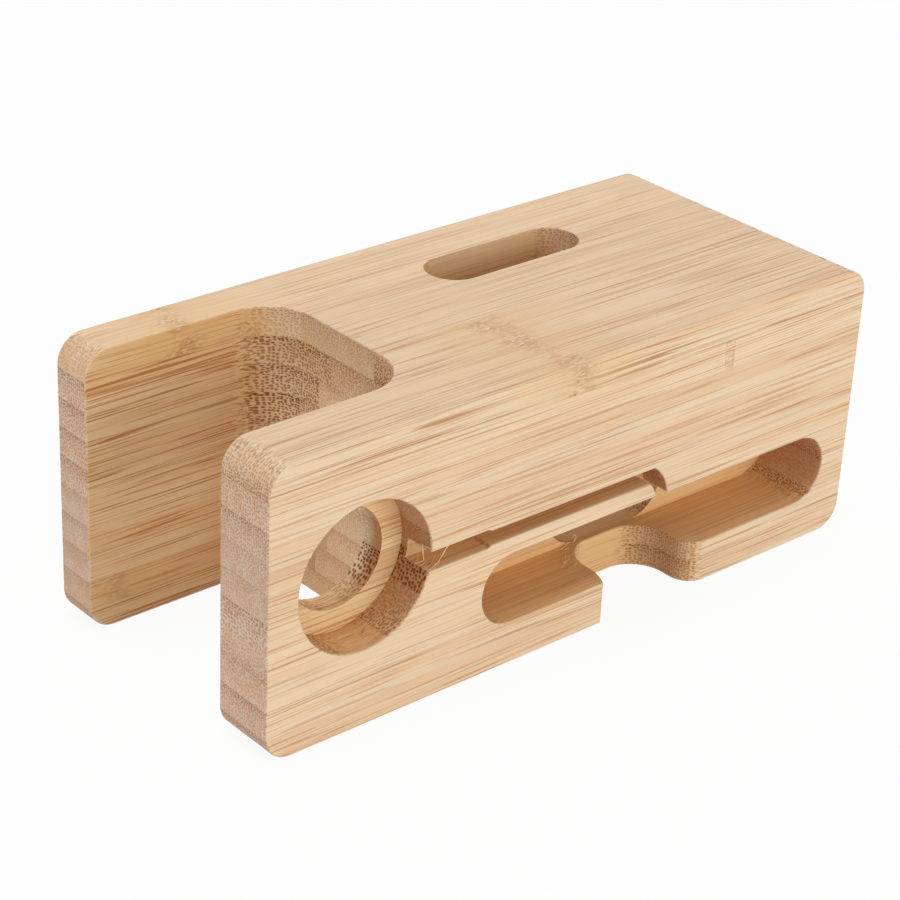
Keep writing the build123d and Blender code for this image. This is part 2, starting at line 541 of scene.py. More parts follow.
# %% The colour of the knuckle
KNUCKLE = tone(206, 156, 108)
KNUCKLE_LIGHT = tone(250, 232, 204)
KNUCKLE_SPECK = tone(150, 98, 62)
KNUCKLE_GOLD = tone(238, 202, 142)
GOLD_WIDTH = (3.0, 20.0)
GOLD_SHARE = 0.35
GROUND_SHARE = 0.3

MOTTLE_STRETCH = (0.8, 2.6, 2.6)
TAN_MOTTLE = (0.48, 0.62)
TAN_SHARE = 0.42
PALE_MOTTLE = (0.34, 0.46)
PALE_SHARE = 0.4

SPECK_STRETCH = (1.1, 2.2, 2.2)
SPECK_STEP = (0.7, 0.76)
SPECK_ROW = (0.3, 1.8)
SPECK_SHARE = 0.3

SCAR_HALF = 1.0
SCAR_LINE = (0.05, 0.3)
SCAR_LINE_MOTTLE = (0.36, 0.5)
SCAR_INSIDE = (0.8, 1.2)
SCAR_INSIDE_MOTTLE = (0.45, 0.6)


def knuckle_mottles(grain, colour, knuckle, mottle):
    strength = grain.given["Knuckle strength"]
    golden = grain.product(grain.fall(knuckle.beside, *GOLD_WIDTH), strength, GOLD_SHARE)
    tan = grain.product(knuckle.near, grain.rise(mottle, *TAN_MOTTLE), TAN_SHARE)
    pale = grain.product(knuckle.near, grain.fall(mottle, *PALE_MOTTLE), PALE_SHARE)
    colour = grain.blend(golden, colour, KNUCKLE_GOLD)
    colour = grain.blend(grain.product(knuckle.near, GROUND_SHARE), colour, KNUCKLE)
    colour = grain.blend(tan, colour, KNUCKLE)
    return grain.blend(pale, colour, KNUCKLE_LIGHT)


def knuckle_specks(grain, colour, fibre, knuckle):
    speck = grain.rise(grain.noise_at(fibre, SPECK_STRETCH)[0], *SPECK_STEP)
    row = grain.fall(knuckle.beside, *SPECK_ROW)
    speck = grain.product(row, speck, grain.given["Knuckle strength"], SPECK_SHARE)
    return grain.blend(speck, colour, KNUCKLE_SPECK)


def knuckle_scar(grain, colour, knuckle, mottle):
    off_line = grain.math("ABSOLUTE", grain.math("SUBTRACT", knuckle.straight, SCAR_HALF))
    lines = grain.product(grain.fall(off_line, *SCAR_LINE), grain.rise(mottle, *SCAR_LINE_MOTTLE))
    inside = grain.fall(knuckle.straight, *SCAR_INSIDE)
    inside = grain.product(inside, grain.rise(mottle, *SCAR_INSIDE_MOTTLE))
    scar = grain.product(grain.math("MAXIMUM", lines, inside), grain.given["Scar"])
    return grain.blend(scar, colour, KNUCKLE)


def knuckle_colour(grain, colour, fibre, knuckle):
    mottle = grain.noise_at(fibre, MOTTLE_STRETCH, detail=1.0)[0]
    colour = knuckle_mottles(grain, colour, knuckle, mottle)
    colour = knuckle_specks(grain, colour, fibre, knuckle)
    return knuckle_scar(grain, colour, knuckle, mottle)


# %% [markdown]
# Where two plies meet there is a thin dark line of glue. It is a share of the ply's height next
# to its two faces, and it shows a little more in end grain.

# %% The glue line
GLUE = tone(150, 105, 70)
GLUE_HEIGHT = (0.008, 0.03)
GLUE_SHARE = (0.05, 0.13)


def glue_line(grain, colour, cut, ply):
    to_face = grain.math("MINIMUM", ply.level, grain.rest(ply.level))
    strength = grain.between(cut.end_grain, *GLUE_SHARE)
    share = grain.product(grain.fall(to_face, *GLUE_HEIGHT), strength)
    return grain.blend(share, colour, GLUE)


# %% [markdown]
# A sanded upper face is a little darker and greyer than an upright one: partly the tone of a face
# cut that way, and partly painted shade for how the light falls on it. Sanded end grain is cooler
# in tone, because light sinks into the open ends of the fibres, but on some strips it stays golden.
# The skin side of every end is darker.

# %% What sanding does to the colour, and painted shade on upper faces
# darker and greyer upper faces: their own tone, and painted shade
TOP_TONE_AND_SHADE_TINT = (0.84, 0.84, 0.865, 1.0)
SANDED_END_TINT = (1.0, 0.95, 1.08, 1.0)
WARM_END_TINT = (1.03, 0.96, 0.94, 1.0)
SKIN_END_TINT = (0.87, 0.83, 0.82, 1.0)


def sanded_tints(grain, colour, cut, ply):
    warmth = grain.given["End warmth"]
    # upper faces: their own tone, and painted shade
    colour = grain.tint(grain.product(grain.facing_z, cut.sanded), colour, TOP_TONE_AND_SHADE_TINT)
    end_tint = grain.blend(warmth, SANDED_END_TINT, WARM_END_TINT)
    ends = grain.math("MAXIMUM", cut.square, grain.product(cut.end_grain, warmth))
    colour = grain.tint(grain.product(ends, cut.sanded), colour, end_tint)
    return grain.tint(grain.product(cut.end_grain, ply.shade), colour, SKIN_END_TINT)


# %% [markdown]
# A hot cutter browns the wood. What faces the front or the back, such as a pocket's floor, is
# golden, and brown where the cutter burnt it. It is browner where it lies deep, and that is painted
# shade, as is part of the burn on faces that lie in shade. The walls along the grain are darker,
# partly from the cutter and partly as painted shade, with faint rings that the turning cutter left.

# %% What the cutter does to long grain, with painted shade
SEAT_FLOOR_TINT = (1.08, 1.05, 0.9, 1.0)
POCKET_FLOOR_TINT = (1.06, 0.96, 0.72, 1.0)
# brown from the cutter, and painted shade on faces that lie in shade
BURNT_AND_SHADED_FLOOR_TINT = (0.925, 0.84, 0.70, 1.0)
DEEP_FLOOR_FROM = (-9.0, -13.0)
DEEP_FLOOR_SHADE = 0.5

# milled walls: the cutter's brown, and painted shade inside the pockets
MILLED_AND_SHADED_WALL_TINT = (0.93, 0.80, 0.60, 1.0)
DEEP_WALL_TINT = (0.93, 0.87, 0.74, 1.0)
DEEP_WALL_FROM = (-8.2, -9.5)

CUTTER_RING_TINT = (0.90, 0.87, 0.84, 1.0)
RING_STRETCH = (0.03, 2.2, 0.03)
RING_STEP = (0.4, 0.7)


def milled_floor_tint(grain, colour, cut):
    # the deeper, the browner: painted shade
    deep = grain.product(grain.rise(cut.below, *DEEP_FLOOR_FROM), DEEP_FLOOR_SHADE)
    burn = grain.math("MAXIMUM", grain.given["Floor burn and shade"], deep)
    floor_tint = grain.blend(cut.smooth, SEAT_FLOOR_TINT, POCKET_FLOOR_TINT)
    floor_tint = grain.blend(burn, floor_tint, BURNT_AND_SHADED_FLOOR_TINT)
    return grain.tint(grain.product(cut.milled, cut.along, grain.facing_y), colour, floor_tint)


def milled_wall_tint(grain, colour, cut):
    wall = grain.product(cut.milled, cut.along, grain.rest(grain.facing_y))
    deep = grain.rise(cut.below, *DEEP_WALL_FROM)
    # the cutter's brown and painted shade, milder on the deepest walls
    colour = grain.tint(wall, colour, grain.blend(deep, MILLED_AND_SHADED_WALL_TINT, DEEP_WALL_TINT))
    ring = grain.rise(grain.noise_at(grain.place, RING_STRETCH)[0], *RING_STEP)
    return grain.tint(grain.product(ring, wall), colour, CUTTER_RING_TINT)


# %% [markdown]
# Walls across the grain scorch most, because the cutter meets the ends of the fibres there. Deep
# inside they are not burnt, and in the front half of the block they are a little paler and bluer:
# painted light, like the light painted into the passage.

# %% What the cutter does to end grain
MILLED_END_TINT = (0.70, 0.49, 0.34, 1.0)
# painted light on the deep end walls in the front half, as in the passage
DEEP_END_PAINTED_LIGHT_TINT = (1.0, 1.09, 1.18, 1.0)
DEEP_END_FROM = (-9.0, -12.0)
FRONT_HALF_FROM = (6.0, 0.0)


def milled_end_tint(grain, colour, cut):
    end = grain.product(cut.milled, cut.end_grain)
    deep = grain.rise(cut.below, *DEEP_END_FROM)
    burn = grain.product(end, grain.given["End burn"], grain.rest(deep))
    colour = grain.tint(burn, colour, MILLED_END_TINT)
    deep_end_light = grain.product(end, deep, grain.rise(grain.y, *FRONT_HALF_FROM))
    return grain.tint(deep_end_light, colour, DEEP_END_PAINTED_LIGHT_TINT)


# %% [markdown]
# The cable passage behind the pocket gets daylight through the slot in the upper face. That light
# is painted into its colour, so it looks paler and greyer than the pocket in front of it. Where the
# passage lies is known, so a box of three soft steps picks it out.

# %% The passage's painted light
# painted light: the slot's daylight, painted into the passage's colour
PAINTED_PASSAGE_LIGHT_TINT = (1.13, 1.27, 1.5, 1.0)
PASSAGE_LEFT = (3.0, 5.0)
PASSAGE_FRONT = (-15.5, -14.5)
PASSAGE_TOP = (23.5, 22.6)


def painted_passage_light(grain, colour, cut):
    passage = grain.product(
        grain.rise(grain.x, *PASSAGE_LEFT), grain.rise(grain.y, *PASSAGE_FRONT), cut.milled,
        grain.rise(grain.z, *PASSAGE_TOP),
    )
    return grain.tint(passage, colour, PAINTED_PASSAGE_LIGHT_TINT)


# %% [markdown]
# The same spots and hairs give the relief, so that a dark bundle is also a small pit. End grain
# and milled wood are more matt than a sanded face.

# %% Roughness and relief
ROUGHNESS = (0.5, 0.65)
HAIR_ROUGHENS = 0.15
HAIR_HEIGHT = 0.4
PIT_DEPTH = (0.1, 0.4)


def surface_relief(grain, cut, spot, streaks):
    rough_cut = grain.math("MAXIMUM", cut.end_grain, cut.milled)
    roughness = grain.between(rough_cut, *ROUGHNESS)
    roughness = grain.math("MULTIPLY_ADD", streaks.fine, HAIR_ROUGHENS, roughness)
    pit = grain.product(spot, grain.between(cut.end_grain, *PIT_DEPTH))
    height = grain.math("SUBTRACT", grain.product(streaks.fine, HAIR_HEIGHT), pit)
    return roughness, height


# %% [markdown]
# Now the whole formula can be said in one breath. It becomes a node group, made once without a
# knuckle and once with one, and every strip's material uses one of the two with its own numbers.

# %% The bamboo formula
FORMULA_OUTPUTS = {"Colour": "Color", "Roughness": "Float", "Height": "Float"}


def empty_group(name, inputs):
    tree = bpy.data.node_groups.new(name, "ShaderNodeTree")
    for title, value in inputs.items():
        socket = tree.interface.new_socket(title, in_out="INPUT", socket_type="NodeSocketFloat")
        socket.default_value = value
    for title, kind in FORMULA_OUTPUTS.items():
        tree.interface.new_socket(title, in_out="OUTPUT", socket_type="NodeSocket" + kind)
    return tree


def bamboo_colour(grain, cut, ply, fibre, spot, streaks, knuckle):
    colour = pith_colour(grain, cut, fibre)
    colour = fibre_lines(grain, colour, cut, fibre, streaks)
    colour = bundle_colour(grain, colour, cut, ply, spot, streaks)
    if knuckle:
        colour = knuckle_colour(grain, colour, fibre, knuckle)
    colour = glue_line(grain, colour, cut, ply)
    colour = sanded_tints(grain, colour, cut, ply)
    colour = milled_floor_tint(grain, colour, cut)
    colour = milled_wall_tint(grain, colour, cut)
    colour = milled_end_tint(grain, colour, cut)
    colour = painted_passage_light(grain, colour, cut)
    bright = grain.vector("SCALE", (1.0, 1.0, 1.0), scale=grain.given["Brightness"])
    return grain.blend(1.0, colour, bright, "MULTIPLY")


def bamboo_group(name, inputs, knuckled):
    grain = Grain(empty_group(name, inputs))
    fibre = bent_fibres(grain)
    knuckle = knuckle_band(grain) if knuckled else None
    if knuckled:
        fibre = swirled(grain, fibre, knuckle)
    cut = kinds_of_cut(grain)
    ply = ply_heights(grain)
    spot = bundle_spots(grain, fibre, ply)
    streaks = streaks_along(grain, cut, fibre)
    roughness, height = surface_relief(grain, cut, spot, streaks)
    result = grain.node("NodeGroupOutput")
    colour = bamboo_colour(grain, cut, ply, fibre, spot, streaks, knuckle)
    grain.feed(result.inputs["Colour"], colour)
    grain.feed(result.inputs["Roughness"], roughness)
    grain.feed(result.inputs["Height"], height)
    return grain.tree


plain_bamboo = bamboo_group("bamboo", STRIP_INPUTS, False)
knuckled_bamboo = bamboo_group("bamboo_with_knuckle", {**STRIP_INPUTS, **KNUCKLE_INPUTS}, True)
for tree in (plain_bamboo, knuckled_bamboo):
    print(tree.name, "has", len(tree.nodes), "nodes")

# %% [markdown]
# ## One finish for each strip
#
# Strips in one block come from different stalks. Each has its own tone, its own bundles, and
# perhaps a knuckle. Each strip therefore gets its own material, which is the same formula with
# other numbers. A fixed seed draws five of them, and two depend on the row. This table overrules
# them for the strips that the photograph shows closely, and gives four strips a knuckle.

# %% What single strips are like
# Some numbers here are painted light and shade, not a strip's own tone. The middle strips, seen in
# the slot's wall and the passage, are brighter for light that reaches them there. The back strips
# get darker towards the lower plies, painted shade on the back prong's inner face. ply_05_front's
# floor burn darkens the right of the seat's floor, which lies in shade.
STRIP_LOOKS = {
    "ply_10_front": {
        "Knuckle place": -7.6, "Knuckle slant": -0.12, "Knuckle strength": 1.3, "Skin side": -1.0,
        "Streaks": 1.3, "Bundle spacing": 0.56, "Bundle darkness": 1.0,
        "End warmth": 1.0, "End burn": 0.3,
    },
    "ply_10_middle": {
        "Streaks": 1.0, "Bundle spacing": 0.5, "Bundle darkness": 0.4, "Paling": -1.0,
        "End warmth": 1.0, "End burn": 0.0,
    },
    "ply_10_back": {
        "Knuckle place": -50.0, "Knuckle strength": 1.5, "Brightness": 1.03, "Streaks": 0.9,
        "Bundle spacing": 0.6, "Bundle darkness": 0.5, "End warmth": 1.0, "End burn": 0.0,
    },
    "ply_09_front": {
        "Knuckle place": 34.0, "Knuckle strength": 0.1, "Scar": 0.6, "Skin side": 0.3,
        "Bundle spacing": 0.6, "Bundle darkness": 1.0, "End warmth": 0.4,
    },
    "ply_09_middle": {"Bundle spacing": 0.5, "Bundle darkness": 0.7},
    "ply_09_back": {"Streaks": 1.3, "Bundle spacing": 0.65, "Bundle darkness": 1.0},
    "ply_08_middle": {
        "Brightness": 1.15, "Bundle spacing": 0.5, "Bundle darkness": 0.4, "Paling": -1.0,
        "End burn": 0.0,
    },
    "ply_08_back": {"Streaks": 1.2, "Bundle spacing": 0.6, "Bundle darkness": 1.15},
    "ply_07_front": {"Skin side": 0.6, "Bundle darkness": 0.7, "End burn": 0.7},
    "ply_07_middle": {"Brightness": 1.05, "Bundle darkness": 0.8, "End burn": 0.0},
    "ply_07_back": {"Streaks": 1.2, "Bundle spacing": 0.6, "Bundle darkness": 1.35},
    "ply_06_front": {"Skin side": 0.5, "Bundle darkness": 0.6, "End burn": 0.9},
    "ply_06_back": {"Brightness": 0.97, "Streaks": 1.3},
    "ply_05_front": {
        "Bundle spacing": 0.75, "Bundle darkness": 1.65, "Paling": 0.75,
        "Floor burn and shade": 0.9, "End burn": 1.0,
    },
    "ply_05_back": {"Brightness": 0.97, "Bundle darkness": 0.5, "End burn": 0.1},
    "ply_04_front": {
        "Skin side": -1.0, "Bundle spacing": 0.53, "Bundle darkness": 0.7, "End burn": 0.8,
    },
    "ply_04_middle": {"Brightness": 1.1, "Bundle darkness": 0.3, "Paling": -1.0, "End burn": 0.0},
    "ply_04_back": {"Brightness": 0.95, "Bundle darkness": 0.5, "End burn": 0.1},
    "ply_03_front": {
        "Skin side": 0.6, "Bundle spacing": 0.6, "Bundle darkness": 0.6, "Paling": 0.4,
        "End burn": 0.8,
    },
    "ply_03_middle": {"Brightness": 1.15, "Bundle darkness": 0.35, "Paling": -1.0, "End burn": 0.0},
    "ply_03_back": {"Brightness": 0.95, "Bundle darkness": 0.5, "End burn": 0.1},
    "ply_02_front": {"Bundle spacing": 0.5, "Bundle darkness": 0.8, "Floor burn and shade": 0.0},
    "ply_02_middle": {"Brightness": 1.1, "Bundle darkness": 0.35, "Paling": -1.0, "End burn": 0.0},
    "ply_02_back": {
        "Knuckle place": -64.0, "Knuckle strength": 0.8, "Brightness": 0.93, "Bundle darkness": 0.5,
    },
    "ply_01_front": {"Bundle spacing": 0.5, "Bundle darkness": 0.8, "Floor burn and shade": 0.0},
    "ply_01_middle": {"Brightness": 1.1, "Bundle darkness": 0.35, "Paling": -1.0, "End burn": 0.0},
    "ply_01_back": {"Brightness": 0.93, "Bundle darkness": 0.5},
}
print(len(STRIP_LOOKS), "strips have numbers of their own")

# %% [markdown]
# A strip's numbers are drawn in a fixed order, and then the table's come on top. How much the
# cutter burnt a strip depends on its row: what faces the front or the back is browned most in the
# back row, which is also painted shade on faces that lie in shade there, and walls across the grain
# are scorched most in the front row.

# %% Drawing a strip's numbers
SEED_RANGE = (1, 19)
DRAWN_RANGES = {
    "Brightness": (0.975, 1.02),
    "Streaks": (0.75, 1.15),
    "Bundle spacing": (0.45, 0.6),
    "Bundle darkness": (0.75, 1.0),
}
# the back row is browned most: cutter burn, and painted shade on its faces in shade
FLOOR_BURN_AND_SHADE = {"front": 0.1, "middle": 0.5, "back": 1.0}
END_BURN = {"front": 0.5, "middle": 0.15, "back": 0.3}


def strip_look(strip, chance):
    _, ply, row = strip.split("_")
    look = dict(STRIP_INPUTS)
    look["Ply bottom"] = (int(ply) - 1) * PLY_THICKNESS - PLANED_OFF
    look["Floor burn and shade"] = FLOOR_BURN_AND_SHADE[row]
    look["End burn"] = END_BURN[row]
    look["Seed"] = round(chance.uniform(*SEED_RANGE), 1)
    for name, (least, most) in DRAWN_RANGES.items():
        look[name] = chance.uniform(least, most)
    look.update(STRIP_LOOKS.get(strip, {}))
    return look


# %% [markdown]
# A material gives the strip's numbers to the formula, and what comes out to the surface. The bump
# is 0.07 mm deep, which catches the light but would be too small to model. Two pieces that a
# pocket parted are one strip and share a finish.

# %% Finishing the strips
STRIP_SEED = 20
BUMP_DEPTH = 0.07 * MM
BUMP_STRENGTH = 0.6
WOOD_SPECULAR = 0.35


def new_material(name):
    material = bpy.data.materials.new(name)
    material.use_nodes = True
    graph = ColourGraph(material.node_tree)
    return material, graph, material.node_tree.nodes["Principled BSDF"]


def feed_surface(graph, surface, colour, roughness, height, depth, strength):
    bump = graph.node("ShaderNodeBump")
    graph.feed(bump.inputs["Strength"], strength)
    graph.feed(bump.inputs["Distance"], depth)
    graph.feed(bump.inputs["Height"], height)
    graph.feed(surface.inputs["Normal"], bump.outputs["Normal"])
    graph.feed(surface.inputs["Base Color"], colour)
    graph.feed(surface.inputs["Roughness"], roughness)


def strip_material(strip, look):
    material, graph, surface = new_material("bamboo_" + strip)
    bamboo = knuckled_bamboo if "Knuckle place" in look else plain_bamboo
    formula = graph.node("ShaderNodeGroup", node_tree=bamboo)
    for name, value in look.items():
        graph.feed(formula.inputs[name], value)
    colour, roughness, height = formula.outputs
    feed_surface(graph, surface, colour, roughness, height, BUMP_DEPTH, BUMP_STRENGTH)
    graph.feed(surface.inputs["Specular IOR Level"], WOOD_SPECULAR)
    return material


def finish_strips():
    chance = random.Random(STRIP_SEED)
    materials = {}
    for name in strip_names:
        strip = name.removesuffix("_left").removesuffix("_right")
        if strip not in materials:
            materials[strip] = strip_material(strip, strip_look(strip, chance))
        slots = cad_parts[name].data.materials
        slots.clear()
        slots.append(materials[strip])
    return materials


strip_materials = finish_strips()
print(len(strip_materials), "finishes for", len(strip_names), "pieces")

# %% [markdown]
# ## Torn fibres
#
# Bamboo frays where a cutter leaves it. On the real block two long slivers still hang across the
# cable channel at the charger seat, and short fibres stand up at the channel's mouth and round
# the corner of the notch. A fibre is a thin tube along a line, which shrinks towards its tip.
# Modelling each by hand would be slow, so Geometry Nodes sweep a small circle along any line.

# %% A tree's sockets, and tubes along lines
TUBE_SIDES = 6
TAPER_POWER = 2.0
TIP_SHARE = 0.4
FIBRE_INPUTS = {"Geometry": "Geometry", "Fibre radius": "Float", "Material": "Material"}


def fibre_tree(name, more_inputs):
    tree = bpy.data.node_groups.new(name, "GeometryNodeTree")
    for title, kind in {**FIBRE_INPUTS, **more_inputs}.items():
        tree.interface.new_socket(title, in_out="INPUT", socket_type="NodeSocket" + kind)
    tree.interface.new_socket("Geometry", in_out="OUTPUT", socket_type="NodeSocketGeometry")
    graph = Graph(tree)
    return graph, graph.node("NodeGroupInput").outputs


def tube_along(graph, given, curves):
    """The curves as tapered tubes, with their material, joined into plain geometry."""
    along = graph.node("GeometryNodeSplineParameter").outputs["Factor"]
    taper = graph.between(graph.math("POWER", along, TAPER_POWER), 1.0, TIP_SHARE)
    ring = graph.node("GeometryNodeCurvePrimitiveCircle")
    graph.feed(ring.inputs["Resolution"], TUBE_SIDES)
    graph.feed(ring.inputs["Radius"], given["Fibre radius"])
    tube = graph.node("GeometryNodeCurveToMesh")
    graph.feed(tube.inputs["Curve"], curves)
    graph.feed(tube.inputs["Profile Curve"], ring.outputs["Curve"])
    graph.feed(tube.inputs["Scale"], taper)
    graph.feed(tube.inputs["Fill Caps"], True)
    whole = graph.node("GeometryNodeRealizeInstances")
    graph.feed(whole.inputs["Geometry"], tube.outputs["Mesh"])
    coloured = graph.node("GeometryNodeSetMaterial")
    graph.feed(coloured.inputs["Geometry"], whole.outputs["Geometry"])
    graph.feed(coloured.inputs["Material"], given["Material"])
    graph.feed(graph.node("NodeGroupOutput").inputs["Geometry"], coloured.outputs["Geometry"])


# %% [markdown]
# The long slivers follow given lines, so their tree only turns edges into tubes.

# %% The tree for slivers


def sliver_tree():
    graph, given = fibre_tree("slivers", {})
    line = graph.node("GeometryNodeMeshToCurve")
    graph.feed(line.inputs["Mesh"], given["Geometry"])
    tube_along(graph, given, line.outputs["Curve"])
    return graph.tree


# %% [markdown]
# The short fibres all look alike, so their tree bends one fibre and sets a copy on each point of
# its guide, turned and sized by chance with a fixed seed.

# %% The tree for short fibres
BEND_STEPS = 6
BEND_AT = 0.6
TIP_RISE = 0.3
LEAST_TURN = (-0.4, -0.35, -0.5)
MOST_TURN = (0.4, 0.0, 0.7)
LEAST_SIZE = 0.6
MOST_SIZE = 1.2


def chance_between(graph, kind, least, most, seed):
    """A random value for each point, between two limits."""
    draw = graph.node("FunctionNodeRandomValue", data_type=kind)
    limits = [socket for socket in draw.inputs if socket.enabled]
    graph.feed(limits[0], least)
    graph.feed(limits[1], most)
    graph.feed(draw.inputs["Seed"], seed)
    return next(socket for socket in draw.outputs if socket.enabled)


def fuzz_tree():
    graph, given = fibre_tree("fuzz", {"Fibre length": "Float", "Seed": "Int"})
    length = given["Fibre length"]
    bent = graph.node("GeometryNodeCurveQuadraticBezier")
    graph.feed(bent.inputs["Resolution"], BEND_STEPS)
    graph.feed(bent.inputs["Start"], (0.0, 0.0, 0.0))
    graph.feed(bent.inputs["Middle"], graph.join(graph.product(length, BEND_AT), 0.0, 0.0))
    graph.feed(bent.inputs["End"], graph.join(length, 0.0, graph.product(length, TIP_RISE)))
    turn = chance_between(graph, "FLOAT_VECTOR", LEAST_TURN, MOST_TURN, given["Seed"])
    next_seed = graph.math("ADD", given["Seed"], 1.0)
    size = chance_between(graph, "FLOAT", LEAST_SIZE, MOST_SIZE, next_seed)
    spread = graph.node("GeometryNodeInstanceOnPoints")
    graph.feed(spread.inputs["Points"], given["Geometry"])
    graph.feed(spread.inputs["Instance"], bent.outputs["Curve"])
    graph.feed(spread.inputs["Rotation"], turn)
    graph.feed(spread.inputs["Scale"], size)
    loose = graph.node("GeometryNodeRealizeInstances")
    graph.feed(loose.inputs["Geometry"], spread.outputs["Instances"])
    tube_along(graph, given, loose.outputs["Geometry"])
    return graph.tree


# %% [markdown]
# The torn fibres are bare inside wood that the cutter never burnt, so they are paler than the
# walls behind them. Their finish is two tones of pith, mixed by a noise.

# %% The finish of torn fibres
TORN_DETAIL = 2.0
TORN_STEP = (0.35, 0.65)
TORN_ROUGHNESS = (0.5, 0.7)
TORN_BUMP_DEPTH = 0.02 * MM
TORN_BUMP_STRENGTH = 1.0


def torn_material(name, light, dark):
    material, graph, surface = new_material(name)
    place = graph.node("ShaderNodeTexCoord").outputs["Object"]
    varied = graph.noise(graph.vector("SCALE", place, scale=1 / MM), TORN_DETAIL)[0]
    colour = graph.blend(graph.rise(varied, *TORN_STEP), light, dark)
    roughness = graph.between(varied, *TORN_ROUGHNESS)
    feed_surface(graph, surface, colour, roughness, varied, TORN_BUMP_DEPTH, TORN_BUMP_STRENGTH)
    return material


# %% [markdown]
# A guide is a mesh without faces: edges for the slivers, single points for the short fibres. The
# tree runs on it as a modifier. Its result is copied into a plain mesh, the guide is thrown away,
# and the new piece rides the block.

# %% Growing fibres on a guide


def guide_mesh(name, lines):
    points = [point for line in lines for point in line]
    edges = []
    first = 0
    for line in lines:
        edges += [(first + step, first + step + 1) for step in range(len(line) - 1)]
        first += len(line)
    mesh = bpy.data.meshes.new(name)
    mesh.from_pydata([Vector(point) * MM for point in points], edges, [])
    return mesh


def grow(name, mesh, tree, values):
    guide = bpy.data.objects.new(name + "_guide", mesh)
    bpy.context.scene.collection.objects.link(guide)
    modifier = guide.modifiers.new("grow", "NODES")
    modifier.node_group = tree
    for socket in tree.interface.items_tree:
        if socket.in_out == "INPUT" and socket.name in values:
            modifier[socket.identifier] = values[socket.name]
    evaluated = guide.evaluated_get(bpy.context.evaluated_depsgraph_get())
    piece = bpy.data.objects.new(name, bpy.data.meshes.new_from_object(evaluated))
    bpy.data.objects.remove(guide)
    bpy.context.scene.collection.objects.link(piece)
    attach(piece, "root")
    print(name, "has", len(piece.data.polygons), "faces")


# %% [markdown]
# Two slivers hang at the charger seat, one down the seat's wall and one across the cable channel,
# with three flakes beside them. A curl stands at the corner of the passage. Each line has only
# the points that its bend needs.

# %% The slivers
SLIVER_RADIUS = 0.12 * MM
SLIVERS = {
    "down the seat's wall": ((-36.0, -28.3, 29.8), (-36.2, -28.6, 28.4), (-36.0, -28.7, 26.9)),
    "across the channel": ((-31.9, -30.0, 28.95), (-33.1, -30.05, 27.5), (-34.3, -30.0, 26.0)),
    "flake above the channel": ((-35.9, -26.5, 28.8), (-36.1, -27.4, 29.5), (-36.0, -28.3, 29.8)),
    "flake at the front": ((-35.9, -28.5, 29.6), (-35.9, -29.4, 29.7), (-35.6, -30.05, 29.4)),
    "flake below the channel": ((-35.9, -26.5, 25.2), (-36.1, -27.6, 26.1), (-36.0, -28.6, 26.7)),
    "curl at the passage": (
        (11.7, -16.1, 8.5), (12.3, -16.1, 9.0), (12.6, -16.0, 9.5), (12.2, -15.9, 9.9),
        (11.6, -15.9, 9.7),
    ),
}

sliver_finish = torn_material("pale_sliver", tone(250, 226, 184), tone(232, 192, 142))
grow("torn_slivers", guide_mesh("sliver_lines", SLIVERS.values()), sliver_tree(), {
    "Fibre radius": SLIVER_RADIUS, "Material": sliver_finish,
})

# %% [markdown]
# The short fibres stand on three milled faces: the pocket's lower wall beside the notch and the
# passage, the lower wall of the channel's mouth, and the channel's floor. A root is therefore
# two numbers on a face, and the face gives the third.

# %% The short fibres
FUZZ_LENGTH = 1.6 * MM
FUZZ_RADIUS = 0.1 * MM
FUZZ_SEED = 5

POCKET_WALL_Z = 8.45
POCKET_ROOTS = (
    (5.2, -20.2), (5.9, -19.7), (6.6, -19.4), (3.7, -21.6), (4.3, -22.7), (5.1, -22.5),
    (5.6, -22.9), (4.4, -21.2), (8.2, -16.6), (8.8, -17.0), (9.3, -16.4),
)
CHANNEL_WALL_Z = 25.3
CHANNEL_WALL_ROOTS = (
    (-36.0, -26.4), (-35.9, -25.2), (-35.8, -27.6), (-35.4, -28.7), (-34.6, -29.3),
    (-35.6, -29.6), (-34.9, -27.9), (-34.2, -28.5), (-33.6, -29.5), (-35.2, -26.9),
)
CHANNEL_FLOOR_Y = -23.95
CHANNEL_FLOOR_ROOTS = ((-35.6, 26.3), (-35.2, 27.4), (-34.4, 28.2))

roots = [(x, y, POCKET_WALL_Z) for x, y in POCKET_ROOTS]
roots += [(x, y, CHANNEL_WALL_Z) for x, y in CHANNEL_WALL_ROOTS]
roots += [(x, CHANNEL_FLOOR_Y, z) for x, z in CHANNEL_FLOOR_ROOTS]

fuzz_finish = torn_material("torn_fuzz", tone(244, 204, 154), tone(220, 172, 118))
grow("torn_fuzz", guide_mesh("fuzz_points", [(root,) for root in roots]), fuzz_tree(), {
    "Fibre length": FUZZ_LENGTH, "Fibre radius": FUZZ_RADIUS, "Seed": FUZZ_SEED,
    "Material": fuzz_finish,
})

# %% [markdown]
# ## Floor, background and light
#
# The block lies on a plain pale sweep in a light tent. The background is white because camera
# rays that miss the block see white, not because more light falls on the block. The floor is
# mostly white light of its own and for the rest matt paint, so the block's faint shadow stays.

# %% Floor
FLOOR_HALF = 3.0
FLOOR_PAINT = tone(235, 235, 235)
FLOOR_ROUGHNESS = 0.9
FLOOR_GLOW_SHARE = 0.93


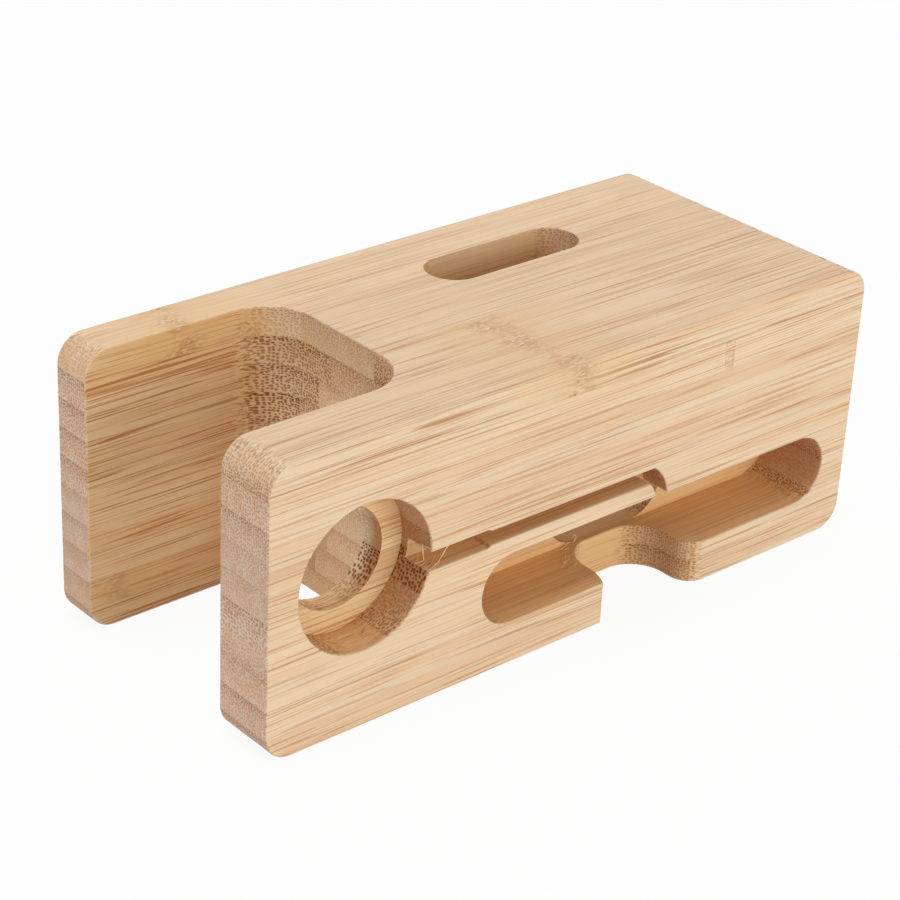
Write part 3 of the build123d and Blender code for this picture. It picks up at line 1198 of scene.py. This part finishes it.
def mix_when_seen(graph, result, shader, seen_shader, share):
    """Rays that look at it, straight, in a mirror or through glass, see the other shader."""
    rays = graph.node("ShaderNodeLightPath").outputs
    seen = graph.math("ADD", rays["Is Camera Ray"], rays["Is Glossy Ray"])
    seen = graph.math("ADD", seen, rays["Is Transmission Ray"], clamp=True)
    mix = graph.node("ShaderNodeMixShader")
    graph.feed(mix.inputs[0], graph.product(seen, share))
    graph.feed(mix.inputs[1], shader.outputs[0])
    graph.feed(mix.inputs[2], seen_shader.outputs[0])
    graph.feed(graph.tree.nodes[result].inputs["Surface"], mix.outputs[0])


def floor_material():
    material, graph, paint = new_material("pale_floor")
    graph.feed(paint.inputs["Base Color"], FLOOR_PAINT)
    graph.feed(paint.inputs["Roughness"], FLOOR_ROUGHNESS)
    graph.feed(paint.inputs["Specular IOR Level"], 0.0)
    glow = graph.node("ShaderNodeEmission")
    mix_when_seen(graph, "Material Output", paint, glow, FLOOR_GLOW_SHARE)
    return material


def make_floor():
    turns = ((-1, -1), (1, -1), (1, 1), (-1, 1))
    corners = [(side * FLOOR_HALF, end * FLOOR_HALF, 0) for side, end in turns]
    mesh = bpy.data.meshes.new("floor")
    mesh.from_pydata(corners, [], [(0, 1, 2, 3)])
    mesh.materials.append(floor_material())
    floor = bpy.data.objects.new("floor", mesh)
    bpy.context.scene.collection.objects.link(floor)
    print("the floor is", 2 * FLOOR_HALF, "m wide")


make_floor()

# %% [markdown]
# The world is the tent: an even white light from all sides, weak enough that the pockets stay
# darker than the outside. Rays that look at it straight see full white instead.

# %% World
WHITE = (1.0, 1.0, 1.0, 1.0)
WORLD_STRENGTH = 0.42
BACKDROP_SHARE = 1.0


def make_world():
    world = bpy.data.worlds.new("light_tent")
    bpy.context.scene.world = world
    world.use_nodes = True
    graph = Graph(world.node_tree)
    tent = world.node_tree.nodes["Background"]
    graph.feed(tent.inputs["Color"], WHITE)
    graph.feed(tent.inputs["Strength"], WORLD_STRENGTH)
    backdrop = graph.node("ShaderNodeBackground")
    graph.feed(backdrop.inputs["Color"], WHITE)
    mix_when_seen(graph, "World Output", tent, backdrop, BACKDROP_SHARE)
    print("the tent shines with", WORLD_STRENGTH)


make_world()

# %% [markdown]
# Two softboxes give the faces their difference: one in front of the pockets and a stronger one
# above. They are large against the block, so their shadows are soft. The Standard view shows a
# colour about as it is written.

# %% Lamps
LAMPS = {
    "front_softbox": {"place": (0.1, -1.0, 0.2), "size": 0.7, "watts": 4.1},
    "top_softbox": {"place": (-0.1, 0.1, 1.0), "size": 0.8, "watts": 6.2},
}


def make_lamp(name, place, size, watts):
    data = bpy.data.lights.new(name, "AREA")
    data.shape = "SQUARE"
    data.size = size
    data.energy = watts
    lamp = bpy.data.objects.new(name, data)
    lamp.location = place
    towards = (cad_low + cad_high) / 2 - lamp.location
    lamp.rotation_euler = towards.to_track_quat("-Z", "Y").to_euler()
    bpy.context.scene.collection.objects.link(lamp)
    print(name, "is", round(towards.length, 2), "m from the block's middle")


for lamp_name, lamp_values in LAMPS.items():
    make_lamp(lamp_name, **lamp_values)
bpy.context.scene.view_settings.view_transform = "Standard"
